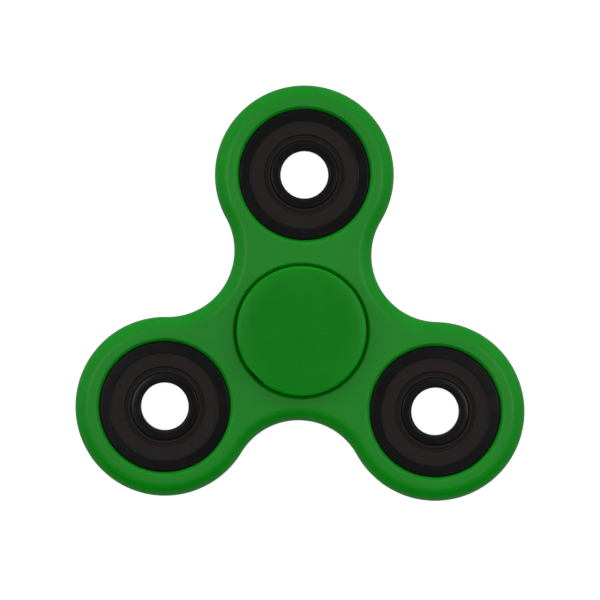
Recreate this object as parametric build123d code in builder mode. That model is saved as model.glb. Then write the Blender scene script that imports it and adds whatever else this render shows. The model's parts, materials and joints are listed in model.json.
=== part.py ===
from build123d import *
from math import radians, sin
import os

# Tri-lobe fidget spinner: one plastic frame, sealed ball bearings in its hub and lobes, and two finger caps.
# Millimetres, +Z up. The origin is on the spin axis, on the lower cap's resting face, and the first arm lies
# along +Y. Every bearing is built about its own centre, which is in the frame's middle plane.

# Bearing: the standard 8 x 22 x 7 size
BEARING_OD = 22.0
BEARING_BORE = 8.0
BEARING_WIDTH = 7.0
RING_CHAMFER = 0.3  # corners of the rings that meet the frame and the cap stems
LAND_CHAMFER = 0.15  # corners of the rings beside the seals
BALL_DIAMETER = 3.969
BALL_COUNT = 7
BALL_PLAY = 0.02  # gap between a ball and the bottom of each groove
GROOVE_CONFORMITY = 0.52  # groove radius over ball diameter
OUTER_SHOULDER = 0.9  # depth of the outer ring's groove
INNER_SHOULDER = 0.7  # depth of the inner ring's groove

# Ball cage: two pressed ribbons riveted together
CAGE_THICKNESS = 0.35
CAGE_GAP = 0.35  # between the ribbon and each ring's shoulder
POCKET_CLEARANCE = 0.05
RIVET_DIAMETER = 0.5
RIVET_HEAD_DIAMETER = 0.9
RIVET_HEAD_HEIGHT = 0.2

# Seal: rubber bonded to a steel washer, snapped into the outer ring
SEAL_GAP = 0.08  # axial room over the cage and over the inner ring's shoulder
SEAL_RECESS = 0.25  # seal face below the ring faces
SEAL_LEDGE = 0.4  # outer ring's step that carries the seal
SNAP_DEPTH = 0.25  # undercut that holds the seal's bead
LAND_STEP = 0.6  # inner ring's step down from its shoulder to the land under the lip
LIP_CLEARANCE = 0.06
LIP_WIDTH = 1.0  # radial length of the thin lip
LIP_RECESS_SHARE = 0.32  # lip face below the seal face, as a share of the seal's depth
INSERT_SHARE = 0.32  # washer's share of the seal's depth
INSERT_MARGIN = 0.15  # rubber between the washer and the lip or the ledge

# Frame: three round lobes and three hollow waists on one pitch circle
ARM_COUNT = 3
FIRST_ARM_ANGLE = 90.0
WEB = 4.2  # plastic between the hub bearing and an arm bearing
RIM = 4.05  # plastic round an arm bearing
SEAT_RECESS = 0.3  # bearing faces below the frame faces
SEAT_CHAMFER = 0.5
EDGE_RADIUS = 2.3

# Finger caps
CAP_DIAMETER = 21.8
CAP_THICKNESS = 2.0
CAP_CLEARANCE = 0.4  # between a cap's underside and the frame
CAP_FLAT_RADIUS = 8.0
CROWN_DROP = 0.1  # fall of the crowned margin from the flat to the edge
CAP_RIM_RADIUS = 0.5
CAP_UNDER_RADIUS = 0.25
BOSS_STEP = 0.2  # boss edge inside the inner ring's land
STEM_WALL = 1.6
STEM_CHAMFER = 0.4
STEM_GAP = 0.5  # between the two stems' ends

# Bearing radii, outwards from the ball circle
bore_radius = BEARING_BORE / 2
outer_radius = BEARING_OD / 2
pitch_radius = (bore_radius + outer_radius) / 2
ball_radius = BALL_DIAMETER / 2
groove_radius = GROOVE_CONFORMITY * BALL_DIAMETER
outer_groove_bottom = pitch_radius + ball_radius + BALL_PLAY
inner_groove_bottom = pitch_radius - ball_radius - BALL_PLAY
outer_shoulder_radius = outer_groove_bottom - OUTER_SHOULDER
inner_shoulder_radius = inner_groove_bottom + INNER_SHOULDER
face_lip_radius = outer_shoulder_radius + SEAL_LEDGE
snap_radius = face_lip_radius + SNAP_DEPTH
land_radius = inner_shoulder_radius - LAND_STEP
cage_outer_radius = outer_shoulder_radius - CAGE_GAP
cage_inner_radius = inner_shoulder_radius + CAGE_GAP
pocket_radius = ball_radius + POCKET_CLEARANCE
cage_height = pocket_radius + CAGE_THICKNESS
seal_inner_radius = land_radius + LIP_CLEARANCE
insert_inner_radius = seal_inner_radius + LIP_WIDTH + INSERT_MARGIN
insert_outer_radius = outer_shoulder_radius - INSERT_MARGIN

rivet_angle = 180 / BALL_COUNT  # half the angle from ball to ball

# Heights above the bearing's middle plane
bearing_half = BEARING_WIDTH / 2
seal_floor = cage_height + SEAL_GAP
seal_face = bearing_half - SEAL_RECESS
seal_depth = seal_face - seal_floor
insert_thickness = INSERT_SHARE * seal_depth
insert_top = seal_floor + insert_thickness
lip_face = seal_face - LIP_RECESS_SHARE * seal_depth
frame_half = bearing_half + SEAT_RECESS
flange_bottom = frame_half + CAP_CLEARANCE
cap_face = flange_bottom + CAP_THICKNESS

# Frame outline, in degrees: lobe and waist centres alternate on the pitch circle. A lobe and the waist beside it
# are as far apart as their radii together, so their arcs are tangent.
pitch = BEARING_OD + WEB
lobe_radius = outer_radius + RIM
arm_spacing = 360 / ARM_COUNT
lobe_to_waist = arm_spacing / 2
waist_radius = 2 * pitch * sin(radians(lobe_to_waist / 2)) - lobe_radius
lobe_half_sweep = 90 + lobe_to_waist / 2
waist_half_sweep = 180 - lobe_half_sweep

cap_radius = CAP_DIAMETER / 2
boss_radius = land_radius - BOSS_STEP
stem_hollow_radius = bore_radius - STEM_WALL

UP = 1
DOWN = -1
SIDES = {"upper": UP, "lower": DOWN}

hub_centre = Vector(0, 0, cap_face)
centres = {"hub": hub_centre}
for arm in range(ARM_COUNT):
    reach = Vector(pitch, 0, 0).rotate(Axis.Z, FIRST_ARM_ANGLE + arm * arm_spacing)
    centres[f"arm_{arm + 1}"] = hub_centre + reach


def across(centre, side):
    """The plane square to the bearing's axis through its centre, facing up or down."""
    return Plane(origin=centre, x_dir=(1, 0, 0), z_dir=(0, 0, side))


def section(centre, side):
    """The plane through the bearing's axis: x is the radius, and y is the height above or below the centre."""
    return Plane(origin=centre, x_dir=(1, 0, 0), z_dir=(0, -side, 0))


def axis_at(centre):
    return Axis(centre, (0, 0, 1))


def build_frame():
    with BuildPart(across(hub_centre, UP)) as frame:
        with BuildSketch(across(hub_centre, UP)) as outline:
            with BuildLine():
                for arm in range(ARM_COUNT):
                    lobe_angle = FIRST_ARM_ANGLE + arm * arm_spacing
                    waist_angle = lobe_angle + lobe_to_waist
                    lobe = Vector(pitch, 0).rotate(Axis.Z, lobe_angle)
                    waist = Vector(pitch, 0).rotate(Axis.Z, waist_angle)
                    CenterArc(lobe, lobe_radius, lobe_angle - lobe_half_sweep, 2 * lobe_half_sweep)
                    CenterArc(waist, waist_radius, waist_angle + lobe_half_sweep, 2 * waist_half_sweep)
            make_face()
        extrude(amount=frame_half, both=True)
        fillet(frame.faces().filter_by(Axis.Z).edges(), EDGE_RADIUS)
        with Locations((0, 0)):
            Hole(outer_radius)
        with PolarLocations(pitch, ARM_COUNT, FIRST_ARM_ANGLE):
            Hole(outer_radius)
        seat_mouths = [
            edge
            for face in frame.faces().filter_by(Axis.Z)
            for wire in face.inner_wires()
            for edge in wire.edges()
        ]
        chamfer(seat_mouths, SEAT_CHAMFER)
    return frame


def build_cap(side):
    with BuildPart() as cap:
        with BuildSketch(section(hub_centre, side)) as profile:
            with BuildLine():
                flat = Line((0, cap_face), (CAP_FLAT_RADIUS, cap_face))
                crown = TangentArc(flat @ 1, (cap_radius, cap_face - CROWN_DROP), tangent=flat % 1)
                Polyline(
                    crown @ 1,
                    (cap_radius, flange_bottom),
                    (boss_radius, flange_bottom),
                    (boss_radius, bearing_half),
                    (bore_radius, bearing_half),
                    (bore_radius, STEM_GAP / 2 + STEM_CHAMFER),
                    (bore_radius - STEM_CHAMFER, STEM_GAP / 2),
                    (stem_hollow_radius, STEM_GAP / 2),
                    (stem_hollow_radius, flange_bottom),
                    (0, flange_bottom),
                    flat @ 0,
                )
            make_face()
            fillet(profile.vertices().group_by(Axis.X)[-1].sort_by(Axis.Y)[-1], CAP_RIM_RADIUS)
            fillet(profile.vertices().group_by(Axis.X)[-1].sort_by(Axis.Y)[0], CAP_UNDER_RADIUS)
        revolve(axis=axis_at(hub_centre))
    return cap


def build_outer_race(centre):
    with BuildPart() as race:
        with BuildSketch(section(centre, UP)) as profile:
            with BuildLine():
                Polyline(
                    (outer_shoulder_radius, 0),
                    (outer_radius, 0),
                    (outer_radius, bearing_half - RING_CHAMFER),
                    (outer_radius - RING_CHAMFER, bearing_half),
                    (face_lip_radius + LAND_CHAMFER, bearing_half),
                    (face_lip_radius, bearing_half - LAND_CHAMFER),
                    (face_lip_radius, seal_face),
                    (snap_radius, seal_face),
                    (snap_radius, seal_floor),
                    (outer_shoulder_radius, seal_floor),
                    close=True,
                )
            make_face()
            mirror(about=Plane.XZ)
            with Locations((outer_groove_bottom - groove_radius, 0)):
                Circle(groove_radius, mode=Mode.SUBTRACT)
        revolve(axis=axis_at(centre))
    return race


def build_inner_race(centre):
    with BuildPart() as race:
        with BuildSketch(section(centre, UP)) as profile:
            with BuildLine():
                Polyline(
                    (bore_radius, 0),
                    (inner_shoulder_radius, 0),
                    (inner_shoulder_radius, cage_height),
                    (land_radius, cage_height),
                    (land_radius, bearing_half - LAND_CHAMFER),
                    (land_radius - LAND_CHAMFER, bearing_half),
                    (bore_radius + RING_CHAMFER, bearing_half),
                    (bore_radius, bearing_half - RING_CHAMFER),
                    close=True,
                )
            make_face()
            mirror(about=Plane.XZ)
            with Locations((inner_groove_bottom + groove_radius, 0)):
                Circle(groove_radius, mode=Mode.SUBTRACT)
        revolve(axis=axis_at(centre))
    return race


def build_balls(centre):
    with BuildPart(across(centre, UP)) as balls:
        with PolarLocations(pitch_radius, BALL_COUNT):
            Sphere(ball_radius)
    return balls


def build_cage_half(centre, side):
    """A flat ribbon with a round pocket over each ball, pierced for a rivet between every two."""
    with BuildPart(across(centre, side)) as cage:
        with BuildSketch(across(centre, side)) as ribbon:
            Circle(cage_outer_radius)
            Circle(cage_inner_radius, mode=Mode.SUBTRACT)
        extrude(amount=CAGE_THICKNESS)
        with PolarLocations(pitch_radius, BALL_COUNT):
            Sphere(cage_height)
        with PolarLocations(pitch_radius, BALL_COUNT):
            Sphere(pocket_radius, mode=Mode.SUBTRACT)
        extrude(ribbon.sketch, amount=cage_height, mode=Mode.INTERSECT)
        with PolarLocations(pitch_radius, BALL_COUNT, rivet_angle):
            Hole(RIVET_DIAMETER / 2)
    return cage


def build_rivets(centre):
    with BuildPart(across(centre, UP)) as rivets:
        with PolarLocations(pitch_radius, BALL_COUNT, rivet_angle):
            Cylinder(RIVET_DIAMETER / 2, 2 * CAGE_THICKNESS)
        for side in SIDES.values():
            with BuildSketch(across(centre, side).offset(CAGE_THICKNESS)):
                with PolarLocations(pitch_radius, BALL_COUNT, rivet_angle):
                    Circle(RIVET_HEAD_DIAMETER / 2)
            extrude(amount=RIVET_HEAD_HEIGHT)
    return rivets


def build_seal(centre, side):
    """Rubber ring: a bead in the outer ring's undercut, a flat face over the washer and a thin inner lip."""
    with BuildPart() as seal:
        with BuildSketch(section(centre, side)) as profile:
            with BuildLine():
                Polyline(
                    (seal_inner_radius, seal_floor),
                    (insert_inner_radius, seal_floor),
                    (insert_inner_radius, insert_top),
                    (insert_outer_radius, insert_top),
                    (insert_outer_radius, seal_floor),
                    (snap_radius, seal_floor),
                    (snap_radius, seal_face),
                    (seal_inner_radius + LIP_WIDTH, seal_face),
                    (seal_inner_radius + LIP_WIDTH, lip_face),
                    (seal_inner_radius, lip_face),
                    close=True,
                )
            make_face()
        revolve(axis=axis_at(centre))
    return seal


def build_seal_insert(centre, side):
    with BuildPart() as insert:
        with BuildSketch(across(centre, side).offset(seal_floor)):
            Circle(insert_outer_radius)
            Circle(insert_inner_radius, mode=Mode.SUBTRACT)
        extrude(amount=insert_thickness)
    return insert


def save(piece, name):
    piece.part.label = name
    export_step(piece.part, f"parts/{name}.step")


os.makedirs("parts", exist_ok=True)

save(build_frame(), "frame")
for side_name, side in SIDES.items():
    save(build_cap(side), f"cap_{side_name}")

for bearing, centre in centres.items():
    save(build_outer_race(centre), f"{bearing}_outer_race")
    save(build_inner_race(centre), f"{bearing}_inner_race")
    save(build_balls(centre), f"{bearing}_balls")
    save(build_rivets(centre), f"{bearing}_cage_rivets")
    for side_name, side in SIDES.items():
        save(build_cage_half(centre, side), f"{bearing}_cage_{side_name}")
        save(build_seal(centre, side), f"{bearing}_seal_{side_name}")
        save(build_seal_insert(centre, side), f"{bearing}_seal_insert_{side_name}")
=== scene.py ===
"""Looks of the tri-lobe spinner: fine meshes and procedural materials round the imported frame.

Sizes are in millimetres and are turned into metres where a mesh is made. Heights of bearing parts are taken
from the bearing's middle plane, and radii from its axis.
"""

import json
import math

import bmesh
import bpy
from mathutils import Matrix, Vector


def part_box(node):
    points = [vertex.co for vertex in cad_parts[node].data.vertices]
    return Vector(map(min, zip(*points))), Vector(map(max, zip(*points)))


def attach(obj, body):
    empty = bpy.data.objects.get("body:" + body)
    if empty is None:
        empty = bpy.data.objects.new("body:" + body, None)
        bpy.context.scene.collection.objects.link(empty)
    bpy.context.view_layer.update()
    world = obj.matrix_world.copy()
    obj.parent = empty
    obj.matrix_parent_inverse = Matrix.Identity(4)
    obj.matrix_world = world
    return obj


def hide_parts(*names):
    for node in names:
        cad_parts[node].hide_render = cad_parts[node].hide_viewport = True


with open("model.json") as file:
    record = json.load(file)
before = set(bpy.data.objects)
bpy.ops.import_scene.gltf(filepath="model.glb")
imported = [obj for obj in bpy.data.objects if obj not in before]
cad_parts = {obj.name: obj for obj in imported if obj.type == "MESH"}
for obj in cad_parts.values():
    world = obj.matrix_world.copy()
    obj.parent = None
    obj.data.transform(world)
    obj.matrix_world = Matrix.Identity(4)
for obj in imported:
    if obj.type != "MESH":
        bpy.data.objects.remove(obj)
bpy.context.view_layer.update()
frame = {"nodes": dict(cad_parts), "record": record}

MM = 0.001
SPIN_STEPS = 160  # faces round a turned piece
BEND_STEPS = 8  # faces round a small rounded corner
SHARP_ANGLE = math.radians(40)
ON_AXIS = 0.001  # a section point this near to the axis is one vertex

# Bearing details that no node's box gives
GROOVE_STEPS = 24
GROOVE_CONFORMITY = 0.52  # groove radius over ball diameter
BALL_PLAY = 0.02
OUTER_SHOULDER = 0.9
INNER_SHOULDER = 0.7
SEAL_LEDGE = 0.4
LAND_STEP = 0.6
RING_CHAMFER = 0.3
RING_EDGE = 0.1  # rounding of the rings' outer corners
SHOULDER_EDGE = 0.04
GUIDE_EDGE = 0.05
LAND_EDGE = 0.16

# The seal's section, outwards from its lip
LIP_CLEARANCE = 0.06
LIP_DROP = 0.2  # of the lip's inner side below the seal's face
LIP_CREST_DROP = 0.14
LIP_EDGE = 0.1
MOAT_BANK = 0.1
MOAT_WIDTH = 0.3
MOAT_DEPTH = 0.36
MOAT_EDGE = 0.08
BAND_BANK = 0.12
BAND_START = 1.06  # from the lip's inner side
WASHER_START = 1.15
SEAL_FOOT_EDGE = 0.06
SEAL_EDGE = 0.05

# Frame and cap details
ARM_COUNT = 3
LOBE_STEPS = 96
WAIST_STEPS = 40
EDGE_RADIUS = 2.3
EDGE_STEPS = 14
FACE_MARGIN = 0.06  # of even face inside the rolled edge
DRAFT = 0.035  # by which the side leans in, from the parting line to its roll
PARTING_HALF = 0.07  # half the parting line's height
PARTING_LIP = 0.6  # share of the draft taken up at once beside the parting line
SEAT_CHAMFER = 0.5
SEAT_EDGE = 0.12
SEAT_MARGIN = 0.05  # of even face round a seat
CAP_FLAT_RADIUS = 8.0
CROWN_DROP = 0.1
CAP_RIM_RADIUS = 0.5
CAP_UNDER_RADIUS = 0.25
CAP_CLEARANCE = 0.4
CROWN_STEPS = 10
GATE_DIRECTION = math.radians(226)  # where the moulding gate was trimmed off the cap's edge
GATE_DEPTH = 0.2
BOSS_STEP = 0.2
BOSS_ROOT = 0.1
BOSS_EDGE = 0.08
STEM_WALL = 1.6
STEM_CHAMFER = 0.4
STEM_EDGE = 0.1
HOLLOW_MOUTH = 0.15
HOLLOW_END = 0.2

# Studio and camera
FLOOR_HALF = 30000
FLOOR_DROP = 0.02  # below the object, so that the two don't share a plane
STRIP_PLACE = (140, 26, 480)
STRIP_SIZE = (60, 160)
STRIP_POWER = 0.2  # watts
LENS = 500
SENSOR = 36
VIEW_WIDTH = 100.52  # across the picture, at the frame's upper face
VIEW_TURN = math.radians(1.08)
AXIS_ASIDE = 0.24  # of the spin axis from the picture's centre
AXIS_BELOW = 5.18


def low_high(node):
    low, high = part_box(node)
    return Vector(low) / MM, Vector(high) / MM


def centre_of(node):
    low, high = low_high(node)
    return (low + high) / 2


def width_of(node):
    low, high = low_high(node)
    return high.x - low.x


def height_of(node):
    low, high = low_high(node)
    return high.z - low.z


# ---------------------------------------------------------------- sizes read from the frame

BEARINGS = ("hub", "arm_1", "arm_2", "arm_3")
SIDES = {"upper": 1, "lower": -1}
bearing_centre = {name: centre_of(f"{name}_outer_race") for name in BEARINGS}
mid_height = bearing_centre["hub"].z
mounts = {mount["name"]: mount for mount in frame["record"]["mounts"]}

bore_radius = mounts["arm_1_bore"]["dims"]["r_mm"]
ring_radius = width_of("hub_outer_race") / 2
ring_half = height_of("hub_outer_race") / 2
ball_diameter = height_of("hub_balls")
pitch_radius = (bore_radius + ring_radius) / 2
groove_radius = GROOVE_CONFORMITY * ball_diameter
outer_groove = pitch_radius + ball_diameter / 2 + BALL_PLAY
inner_groove = pitch_radius - ball_diameter / 2 - BALL_PLAY
outer_shoulder = outer_groove - OUTER_SHOULDER
inner_shoulder = inner_groove + INNER_SHOULDER
ring_lip = outer_shoulder + SEAL_LEDGE
seal_radius = width_of("hub_seal_upper") / 2
land_radius = inner_shoulder - LAND_STEP
cage_top = height_of("hub_cage_upper")
seal_low, seal_high = (corner.z - mid_height for corner in low_high("hub_seal_upper"))
washer_outer = width_of("hub_seal_insert_upper") / 2
washer_top = seal_low + height_of("hub_seal_insert_upper")

pitch = bearing_centre["arm_1"].y
frame_half = height_of("frame") / 2
lobe_radius = low_high("frame")[1].y - pitch
waist_radius = pitch - lobe_radius
arm_spacing = 2 * math.pi / ARM_COUNT
first_arm = math.pi / 2

cap_radius = width_of("cap_upper") / 2
stem_end, cap_face = (corner.z - mid_height for corner in low_high("cap_upper"))


# ---------------------------------------------------------------- shader helpers

def add_node(tree, kind, inputs=None, **settings):
    """A node with its settings, and with each named input linked or given its value."""
    made = tree.nodes.new(kind)
    for key, value in settings.items():
        setattr(made, key, value)
    for key, value in (inputs or {}).items():
        if isinstance(value, bpy.types.NodeSocket):
            tree.links.new(value, made.inputs[key])
        else:
            made.inputs[key].default_value = value
    return made


def calculate(tree, operation, first, second):
    return add_node(tree, "ShaderNodeMath", {0: first, 1: second}, operation=operation).outputs[0]


def noise(tree, vector, scale, detail=2.0, roughness=0.5):
    """Even noise with about scale features to a unit of vector."""
    inputs = {"Vector": vector, "Scale": scale, "Detail": detail, "Roughness": roughness}
    return add_node(tree, "ShaderNodeTexNoise", inputs).outputs["Fac"]


def remap(tree, value, low, high, to_low, to_high):
    inputs = {"Value": value, "From Min": low, "From Max": high, "To Min": to_low, "To Max": to_high}
    return add_node(tree, "ShaderNodeMapRange", inputs, clamp=True).outputs[0]


def spread(tree, value, low, high):
    """Spreads the range that a noise mostly keeps to over low to high."""
    return remap(tree, value, 0.3, 0.7, low, high)


def blend_colours(tree, factor, first, second):
    mix = add_node(tree, "ShaderNodeMix", {"Factor": factor}, data_type="RGBA")
    mix.inputs[6].default_value = (*first, 1)
    mix.inputs[7].default_value = (*second, 1)
    return mix.outputs[2]


def bump(tree, height, distance, under=None):
    inputs = {"Height": height, "Distance": distance, "Strength": 1.0}
    if under is not None:
        inputs["Normal"] = under
    return add_node(tree, "ShaderNodeBump", inputs).outputs["Normal"]


def new_material(name):
    material = bpy.data.materials.new(name)
    material.use_nodes = True
    tree = material.node_tree
    coords = add_node(tree, "ShaderNodeTexCoord").outputs["Object"]
    return material, tree, tree.nodes["Principled BSDF"], coords


def streaks(tree, coords, turn, scale):
    """Fine straight hairlines along one direction: 1 on a line, 0 between."""
    inputs = {"Vector": coords, "Rotation": (0, 0, turn), "Scale": scale}
    lines = noise(tree, add_node(tree, "ShaderNodeMapping", inputs).outputs[0], 1.0, 1.0)
    return remap(tree, lines, 0.66, 0.72, 0.0, 1.0)


def turning_marks(tree, coords, spacing):
    """Rings about the piece's own axis, uneven as a lathe tool leaves them."""
    flat = add_node(tree, "ShaderNodeVectorMath", {0: coords, 1: (1, 1, 0)}, operation="MULTIPLY")
    radius = add_node(tree, "ShaderNodeVectorMath", {0: flat.outputs[0]}, operation="LENGTH")
    along = add_node(tree, "ShaderNodeCombineXYZ", {"X": radius.outputs["Value"]})
    return noise(tree, along.outputs[0], 1 / spacing, 3.0, 0.7)


# ---------------------------------------------------------------- materials

def moulded_plastic(name, deep, light, smooth, rough, specular):
    """Satin moulded plastic that scatters a little light: slow colour drift, fine grain, hairline scuffs."""
    material, tree, shader, coords = new_material(name)
    drift = spread(tree, noise(tree, coords, 90.0, 3.0), 0.0, 1.0)
    tree.links.new(blend_colours(tree, drift, deep, light), shader.inputs["Base Color"])
    scuffs = calculate(
        tree,
        "MAXIMUM",
        streaks(tree, coords, 0.5, (120, 5200, 120)),
        streaks(tree, coords, -0.9, (150, 6400, 150)),
    )
    worn_places = remap(tree, noise(tree, coords, 160.0), 0.45, 0.65, 0.0, 1.0)
    wear = calculate(tree, "MULTIPLY", scuffs, worn_places)
    smudges = spread(tree, noise(tree, coords, 240.0, 4.0), smooth, rough)
    roughness = calculate(tree, "ADD", smudges, calculate(tree, "MULTIPLY", wear, 0.12))
    tree.links.new(roughness, shader.inputs["Roughness"])
    grain = bump(tree, noise(tree, coords, 7000.0, 3.0), 0.004 * MM)
    swell = bump(tree, noise(tree, coords, 420.0), 0.012 * MM, grain)
    scratch = bump(tree, calculate(tree, "SUBTRACT", 1.0, wear), 0.002 * MM, swell)
    tree.links.new(scratch, shader.inputs["Normal"])
    shader.inputs["Specular IOR Level"].default_value = specular
    shader.inputs["Subsurface Weight"].default_value = 1.0
    shader.inputs["Subsurface Radius"].default_value = (0.25, 1.0, 0.25)
    shader.inputs["Subsurface Scale"].default_value = 3.0 * MM
    return material


def blackened_steel(name):
    """Hardened steel with a black finish over turning marks."""
    material, tree, shader, coords = new_material(name)
    marks = turning_marks(tree, coords, 0.12 * MM)
    cloud = noise(tree, coords, 500.0, 4.0)
    deep = (0.0068, 0.0064, 0.0058)
    pale = (0.0086, 0.0082, 0.0076)
    colour = blend_colours(tree, spread(tree, cloud, 0.0, 1.0), deep, pale)
    tree.links.new(colour, shader.inputs["Base Color"])
    film = calculate(tree, "MULTIPLY", cloud, 0.04)
    roughness = calculate(tree, "ADD", spread(tree, marks, 0.1, 0.15), film)
    tree.links.new(roughness, shader.inputs["Roughness"])
    tree.links.new(bump(tree, marks, 0.001 * MM), shader.inputs["Normal"])
    shader.inputs["Specular IOR Level"].default_value = 0.2
    return material


def seal_rubber(name):
    """Warm black nitrile rubber, with a matt stipple and faint moulding rings."""
    material, tree, shader, coords = new_material(name)
    cloud = noise(tree, coords, 700.0, 5.0, 0.6)
    deep = (0.0115, 0.0062, 0.0035)
    pale = (0.016, 0.0092, 0.0055)
    colour = blend_colours(tree, spread(tree, cloud, 0.0, 1.0), deep, pale)
    tree.links.new(colour, shader.inputs["Base Color"])
    tree.links.new(spread(tree, cloud, 0.58, 0.72), shader.inputs["Roughness"])
    stipple = bump(tree, noise(tree, coords, 9000.0, 2.0), 0.012 * MM)
    rings = bump(tree, turning_marks(tree, coords, 0.35 * MM), 0.01 * MM, stipple)
    tree.links.new(rings, shader.inputs["Normal"])
    shader.inputs["Specular IOR Level"].default_value = 0.25
    return material


def bare_steel(name, deep, pale, smooth, rough, grain_height):
    """Uncoated steel, from polished balls to pressed sheet."""
    material, tree, shader, coords = new_material(name)
    cloud = noise(tree, coords, 900.0, 5.0, 0.6)
    colour = blend_colours(tree, spread(tree, cloud, 0.0, 1.0), deep, pale)
    tree.links.new(colour, shader.inputs["Base Color"])
    tree.links.new(spread(tree, cloud, smooth, rough), shader.inputs["Roughness"])
    grain = bump(tree, noise(tree, coords, 6000.0, 3.0), grain_height * MM)
    tree.links.new(grain, shader.inputs["Normal"])
    shader.inputs["Metallic"].default_value = 1.0
    return material


def build_materials():
    """One material for each slot, by the slot's name."""
    recipes = {
        "frame_plastic": (moulded_plastic, (0.0035, 0.315, 0.006), (0.0045, 0.345, 0.007), 0.3, 0.35, 0.21),
        "cap_plastic": (moulded_plastic, (0.003, 0.29, 0.0055), (0.004, 0.315, 0.0065), 0.22, 0.27, 0.11),
        "race_steel": (blackened_steel,),
        "seal_rubber": (seal_rubber,),
        "ball_steel": (bare_steel, (0.56, 0.56, 0.58), (0.64, 0.64, 0.65), 0.06, 0.12, 0.0005),
        "cage_steel": (bare_steel, (0.4, 0.39, 0.37), (0.52, 0.51, 0.49), 0.28, 0.42, 0.003),
        "insert_steel": (bare_steel, (0.33, 0.33, 0.33), (0.44, 0.44, 0.44), 0.34, 0.5, 0.003),
    }
    return {slot: recipe(slot, *values) for slot, (recipe, *values) in recipes.items()}


materials = build_materials()


# ---------------------------------------------------------------- mesh helpers

def fillet(before, corner, after, radius):
    """Points of a round corner, from the side of before to the side of after."""
    towards_before = (before - corner).normalized()
    towards_after = (after - corner).normalized()
    half = towards_before.angle(towards_after) / 2
    reach = radius / math.tan(half)
    middle = corner + (towards_before + towards_after).normalized() * radius / math.sin(half)
    start = corner + towards_before * reach - middle
    end = corner + towards_after * reach - middle
    steps = range(BEND_STEPS + 1)
    return [middle + start.lerp(end, step / BEND_STEPS).normalized() * radius for step in steps]


def outline(*corners):
    """Points (radius, height) of a turned piece's section. A corner with a third value is rounded by it."""
    points = []
    for index, corner in enumerate(corners):
        here = Vector(corner[:2])
        if len(corner) == 2:
            points.append(here)
            continue
        before = Vector(corners[index - 1][:2])
        after = Vector(corners[(index + 1) % len(corners)][:2])
        points.extend(fillet(before, here, after, corner[2]))
    return points


def arc(middle, radius, start, end, steps):
    """Points of an arc in a section, from angle start to angle end, as outline corners."""
    angles = [start + (end - start) * step / steps for step in range(steps + 1)]
    return [(middle[0] + radius * math.cos(a), middle[1] + radius * math.sin(a)) for a in angles]


def spin(bm, points, centre, closed):
    """Turns section points about the vertical axis through centre, and returns the rings of vertices."""
    rings = []
    for point in points:
        if point[0] < ON_AXIS:
            rings.append([bm.verts.new(Vector((centre.x, centre.y, centre.z + point[1])) * MM)])
            continue
        ring = []
        for step in range(SPIN_STEPS):
            angle = 2 * math.pi * step / SPIN_STEPS
            offset = Vector((point[0] * math.cos(angle), point[0] * math.sin(angle), point[1]))
            ring.append(bm.verts.new((centre + offset) * MM))
        rings.append(ring)
    following = rings[1:] + rings[:1] if closed else rings[1:]
    for here, there in zip(rings, following):
        for step in range(SPIN_STEPS):
            corners = (
                here[step % len(here)],
                here[(step + 1) % len(here)],
                there[(step + 1) % len(there)],
                there[step % len(there)],
            )
            bm.faces.new(list(dict.fromkeys(corners)))
    return rings


def finish_piece(bm, name, origin, slot, body, node):
    """Makes the mesh an object that stands for a CAD node: smooth faces, sharp edges and an even shading."""
    bmesh.ops.recalc_face_normals(bm, faces=bm.faces)
    for face in bm.faces:
        face.smooth = True
    for edge in bm.edges:
        edge.smooth = len(edge.link_faces) < 2 or edge.calc_face_angle() < SHARP_ANGLE
    mesh = bpy.data.meshes.new(name)
    bm.to_mesh(mesh)
    bm.free()
    mesh.materials.append(materials[slot])
    piece = bpy.data.objects.new(name, mesh)
    piece.location = origin * MM
    bpy.context.collection.objects.link(piece)
    normals = piece.modifiers.new("even_shading", "WEIGHTED_NORMAL")
    normals.keep_sharp = True
    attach(piece, body)
    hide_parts(node)
    return piece


def turned_piece(name, points, bearing, slot, body, node):
    bm = bmesh.new()
    spin(bm, points, Vector(), closed=True)
    return finish_piece(bm, name, bearing_centre[bearing], slot, body, node)


# ---------------------------------------------------------------- frame

def frame_outline(inset):
    """The lobed outline, moved inwards by inset: lobe arcs shrink and waist arcs grow."""
    points = []
    for arm in range(ARM_COUNT):
        lobe_angle = first_arm + arm * arm_spacing
        waist_angle = lobe_angle + arm_spacing / 2
        lobe = (pitch * math.cos(lobe_angle), pitch * math.sin(lobe_angle))
        waist = (pitch * math.cos(waist_angle), pitch * math.sin(waist_angle))
        lobe_start = lobe_angle - arm_spacing
        lobe_end = lobe_angle + arm_spacing
        points += arc(lobe, lobe_radius - inset, lobe_start, lobe_end, LOBE_STEPS)[:-1]
        waist_end = waist_angle + arm_spacing
        waist_start = waist_end + arm_spacing
        points += arc(waist, waist_radius + inset, waist_start, waist_end, WAIST_STEPS)[:-1]
    return points


def frame_side():
    """(inset, height) from the underside's edge to the top's: rolled edges and a fine parting line."""
    flat_half = frame_half - EDGE_RADIUS
    quarter = math.pi / 2
    upper = []
    for step in range(EDGE_STEPS + 1):
        angle = quarter * step / EDGE_STEPS
        inset = DRAFT + (EDGE_RADIUS - DRAFT) * (1 - math.cos(angle))
        upper.append((inset, flat_half + EDGE_RADIUS * math.sin(angle)))
    upper.append((EDGE_RADIUS + FACE_MARGIN, frame_half))
    parting = [(0.0, PARTING_HALF / 2), (DRAFT * PARTING_LIP, PARTING_HALF)]
    above = parting + upper
    return [(inset, -height) for inset, height in above[::-1]] + above


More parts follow.
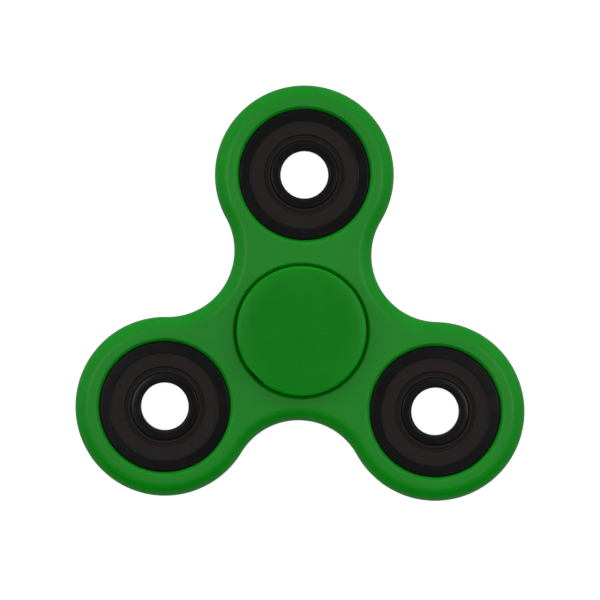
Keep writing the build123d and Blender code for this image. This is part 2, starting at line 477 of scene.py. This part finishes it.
def build_frame():
    bm = bmesh.new()
    loops = []
    for inset, height in frame_side():
        loops.append([bm.verts.new(Vector((x, y, height)) * MM) for x, y in frame_outline(inset)])
    count = len(loops[0])
    for low, high in zip(loops, loops[1:]):
        for step in range(count):
            bm.faces.new((low[step], low[(step + 1) % count], high[(step + 1) % count], high[step]))
    mouth = ring_radius + SEAT_CHAMFER
    margin = mouth + SEAT_MARGIN + SEAT_EDGE
    section = outline(
        (margin, -frame_half),
        (mouth, -frame_half, SEAT_EDGE),
        (ring_radius, SEAT_CHAMFER - frame_half, SEAT_EDGE),
        (ring_radius, frame_half - SEAT_CHAMFER, SEAT_EDGE),
        (mouth, frame_half, SEAT_EDGE),
        (margin, frame_half),
    )
    rims = {0: [loops[0]], -1: [loops[-1]]}
    for bearing in BEARINGS:
        centre = bearing_centre[bearing].copy()
        centre.z = 0
        rings = spin(bm, section, centre, closed=False)
        rims[0].append(rings[0])
        rims[-1].append(rings[-1])
    for end, facing in ((0, -1), (-1, 1)):
        edges = []
        for rim in rims[end]:
            edges += [bm.edges.get((rim[step - 1], rim[step])) for step in range(len(rim))]
        bmesh.ops.triangle_fill(bm, use_beauty=True, edges=edges, normal=(0, 0, facing))
    origin = Vector((0, 0, mid_height))
    return finish_piece(bm, "frame_moulding", origin, "frame_plastic", "spinner", "frame")


# ---------------------------------------------------------------- caps

def trim_gate(bm):
    """The small flat on the cap's edge: what stands past it is pressed back onto it."""
    direction = Vector((math.cos(GATE_DIRECTION), math.sin(GATE_DIRECTION), 0))
    limit = (cap_radius - GATE_DEPTH) * MM
    for vertex in bm.verts:
        excess = vertex.co.dot(direction) - limit
        if excess > 0:
            vertex.co -= direction * excess


def build_cap(side_name):
    """A flat disc with a crowned margin, a boss on the inner ring and a hollow stem in its bore."""
    side = SIDES[side_name]
    under = frame_half + CAP_CLEARANCE
    run = cap_radius - CAP_FLAT_RADIUS
    crown_radius = (run**2 + CROWN_DROP**2) / (2 * CROWN_DROP)
    crown_middle = (CAP_FLAT_RADIUS, cap_face - crown_radius)
    crown_end = math.acos((run - CAP_RIM_RADIUS) / crown_radius)
    crown = arc(crown_middle, crown_radius, math.pi / 2, crown_end, CROWN_STEPS)
    boss = land_radius - BOSS_STEP
    hollow = bore_radius - STEM_WALL
    section = outline(
        (0, cap_face),
        (CAP_FLAT_RADIUS / 2, cap_face),
        *crown,
        (cap_radius, cap_face - CROWN_DROP, CAP_RIM_RADIUS),
        (cap_radius, under, CAP_UNDER_RADIUS),
        (boss, under, BOSS_ROOT),
        (boss, ring_half, BOSS_EDGE),
        (bore_radius, ring_half),
        (bore_radius, stem_end + STEM_CHAMFER, STEM_EDGE),
        (bore_radius - STEM_CHAMFER, stem_end, STEM_EDGE),
        (hollow, stem_end, HOLLOW_MOUTH),
        (hollow, under, HOLLOW_END),
        (0, under),
    )
    section = [Vector((point[0], side * point[1])) for point in section]
    node = f"cap_{side_name}"
    bm = bmesh.new()
    spin(bm, section, Vector(), closed=False)
    trim_gate(bm)
    origin = bearing_centre["hub"]
    return finish_piece(bm, f"{node}_moulding", origin, "cap_plastic", "finger_hub", node)


# ---------------------------------------------------------------- bearing rings and seals

def mirrored(half):
    """The corners of a section's upper half, repeated below the bearing's middle plane."""
    return [(corner[0], -corner[1], *corner[2:]) for corner in half[::-1]]


def build_outer_ring(bearing):
    middle = outer_groove - groove_radius
    reach = math.acos((outer_shoulder - middle) / groove_radius)
    groove = arc((middle, 0), groove_radius, -reach, reach, GROOVE_STEPS)
    half = (
        (outer_shoulder, seal_low, SHOULDER_EDGE),
        (seal_radius, seal_low),
        (seal_radius, seal_high),
        (ring_lip, seal_high, SHOULDER_EDGE),
        (ring_lip, ring_half, RING_EDGE),
        (ring_radius - RING_CHAMFER, ring_half, RING_EDGE),
        (ring_radius, ring_half - RING_CHAMFER, RING_EDGE),
    )
    section = outline(*groove, *half, *mirrored(half))
    node = f"{bearing}_outer_race"
    return turned_piece(f"{bearing}_outer_ring", section, bearing, "race_steel", "spinner", node)


def build_inner_ring(bearing):
    middle = inner_groove + groove_radius
    reach = math.acos((middle - inner_shoulder) / groove_radius)
    groove = arc((middle, 0), groove_radius, math.pi + reach, math.pi - reach, GROOVE_STEPS)
    half = (
        (inner_shoulder, cage_top, GUIDE_EDGE),
        (land_radius, cage_top, SHOULDER_EDGE),
        (land_radius, ring_half, LAND_EDGE),
        (bore_radius + RING_CHAMFER, ring_half, RING_EDGE),
        (bore_radius, ring_half - RING_CHAMFER, RING_EDGE),
    )
    section = outline(*groove, *half, *mirrored(half))
    body = "finger_hub" if bearing == "hub" else f"{bearing}_race"
    node = f"{bearing}_inner_race"
    return turned_piece(f"{bearing}_inner_ring", section, bearing, "race_steel", body, node)


def build_seal(bearing, side_name):
    """Rubber over the washer: a flat band under the ring's lip, then a moat and a raised lip."""
    side = SIDES[side_name]
    lip_inner = land_radius + LIP_CLEARANCE
    band_inner = lip_inner + BAND_START
    moat_outer = band_inner - BAND_BANK
    moat_inner = moat_outer - MOAT_WIDTH
    moat_floor = seal_high - MOAT_DEPTH
    washer_inner = lip_inner + WASHER_START
    section = outline(
        (lip_inner, seal_low, SEAL_FOOT_EDGE),
        (washer_inner, seal_low),
        (washer_inner, washer_top),
        (washer_outer, washer_top),
        (washer_outer, seal_low),
        (seal_radius, seal_low),
        (seal_radius, seal_high, SEAL_EDGE),
        (band_inner, seal_high, BAND_BANK),
        (moat_outer, moat_floor, MOAT_EDGE),
        (moat_inner, moat_floor, MOAT_EDGE),
        (moat_inner - MOAT_BANK, seal_high - LIP_CREST_DROP, MOAT_EDGE),
        (lip_inner, seal_high - LIP_DROP, LIP_EDGE),
    )
    section = [Vector((point[0], side * point[1])) for point in section]
    node = f"{bearing}_seal_{side_name}"
    return turned_piece(f"{node}_rubber", section, bearing, "seal_rubber", "spinner", node)


# ---------------------------------------------------------------- CAD nodes that keep their shape

INNER_SLOTS = {
    "balls": "ball_steel",
    "cage_upper": "cage_steel",
    "cage_lower": "cage_steel",
    "cage_rivets": "cage_steel",
    "seal_insert_upper": "insert_steel",
    "seal_insert_lower": "insert_steel",
}


def dress_inner_pieces():
    for bearing in BEARINGS:
        for part, slot in INNER_SLOTS.items():
            mesh = frame["nodes"][f"{bearing}_{part}"].data
            mesh.materials.clear()
            mesh.materials.append(materials[slot])


# ---------------------------------------------------------------- studio

def build_floor():
    """A white sheet, brighter to the camera than to the object, so that the rims don't pick it up."""
    mesh = bpy.data.meshes.new("studio_floor")
    corners = [(x * FLOOR_HALF * MM, y * FLOOR_HALF * MM, 0) for x, y in ((-1, -1), (1, -1), (1, 1), (-1, 1))]
    mesh.from_pydata(corners, [], [(0, 1, 2, 3)])
    floor = bpy.data.objects.new("studio_floor", mesh)
    floor.location.z = -FLOOR_DROP * MM
    bpy.context.collection.objects.link(floor)
    material = bpy.data.materials.new("studio_floor")
    material.use_nodes = True
    tree = material.node_tree
    shader = tree.nodes["Principled BSDF"]
    seen = add_node(tree, "ShaderNodeLightPath").outputs["Is Camera Ray"]
    glow_on_object = 0.12
    glow_in_view = 0.95
    glow = remap(tree, seen, 0.0, 1.0, glow_on_object, glow_in_view)
    tree.links.new(glow, shader.inputs["Emission Strength"])
    shader.inputs["Emission Color"].default_value = (1, 1, 1, 1)
    shader.inputs["Base Color"].default_value = (0.4, 0.4, 0.4, 1)
    shader.inputs["Roughness"].default_value = 0.9
    shader.inputs["Specular IOR Level"].default_value = 0.0
    mesh.materials.append(material)


def strip_light(name, side):
    """A narrow area light overhead, to the left (-1) or right (1), aimed straight at the object."""
    place = Vector((side * STRIP_PLACE[0], STRIP_PLACE[1], STRIP_PLACE[2])) * MM
    data = bpy.data.lights.new(name, "AREA")
    data.shape = "RECTANGLE"
    data.size = STRIP_SIZE[0] * MM
    data.size_y = STRIP_SIZE[1] * MM
    data.energy = STRIP_POWER
    light = bpy.data.objects.new(name, data)
    light.location = place
    light.rotation_euler = place.to_track_quat("Z", "Y").to_euler()
    bpy.context.collection.objects.link(light)


def build_dome():
    """A pale dome: white at the horizon, dim to the south, and dark overhead where a camera would be."""
    world = bpy.data.worlds.new("studio")
    world.use_nodes = True
    tree = world.node_tree
    direction = add_node(tree, "ShaderNodeTexCoord").outputs["Generated"]
    parts = add_node(tree, "ShaderNodeSeparateXYZ", {"Vector": direction}).outputs
    overhead = remap(tree, parts["Z"], 0.5, 0.93, 0.74, 0.77)
    camera_shade = remap(tree, parts["Z"], 0.99, 0.9955, 1.0, 0.02)
    south = remap(tree, parts["Y"], -0.55, 0.0, 0.05, 1.0)
    horizon = remap(tree, parts["Z"], 0.05, 0.09, 0.8, 0.0)
    shaded = calculate(tree, "MULTIPLY", overhead, camera_shade)
    dome = calculate(tree, "MULTIPLY", shaded, south)
    background = tree.nodes["Background"]
    background.inputs["Color"].default_value = (0.92, 1.0, 1.15, 1)
    tree.links.new(calculate(tree, "MAXIMUM", dome, horizon), background.inputs["Strength"])
    bpy.context.scene.world = world


def build_studio():
    build_floor()
    build_dome()
    strip_light("left_strip", -1)
    strip_light("right_strip", 1)
    bpy.context.scene.view_settings.view_transform = "Standard"


def build_camera():
    """Straight above, on a long lens, turned a little so that the first arm leans to the right."""
    data = bpy.data.cameras.new("camera")
    data.lens = LENS
    data.sensor_width = SENSOR
    camera = bpy.data.objects.new("camera", data)
    height = mid_height + frame_half + LENS * VIEW_WIDTH / SENSOR
    across = AXIS_BELOW * math.sin(VIEW_TURN) + AXIS_ASIDE * math.cos(VIEW_TURN)
    along = AXIS_BELOW * math.cos(VIEW_TURN) - AXIS_ASIDE * math.sin(VIEW_TURN)
    camera.location = Vector((-across, along, height)) * MM
    camera.rotation_euler = (0, 0, VIEW_TURN)
    bpy.context.collection.objects.link(camera)
    bpy.context.scene.camera = camera


build_camera()
build_studio()
build_frame()
for side_name in SIDES:
    build_cap(side_name)
for bearing in BEARINGS:
    build_outer_ring(bearing)
    build_inner_ring(bearing)
    for side_name in SIDES:
        build_seal(bearing, side_name)
dress_inner_pieces()
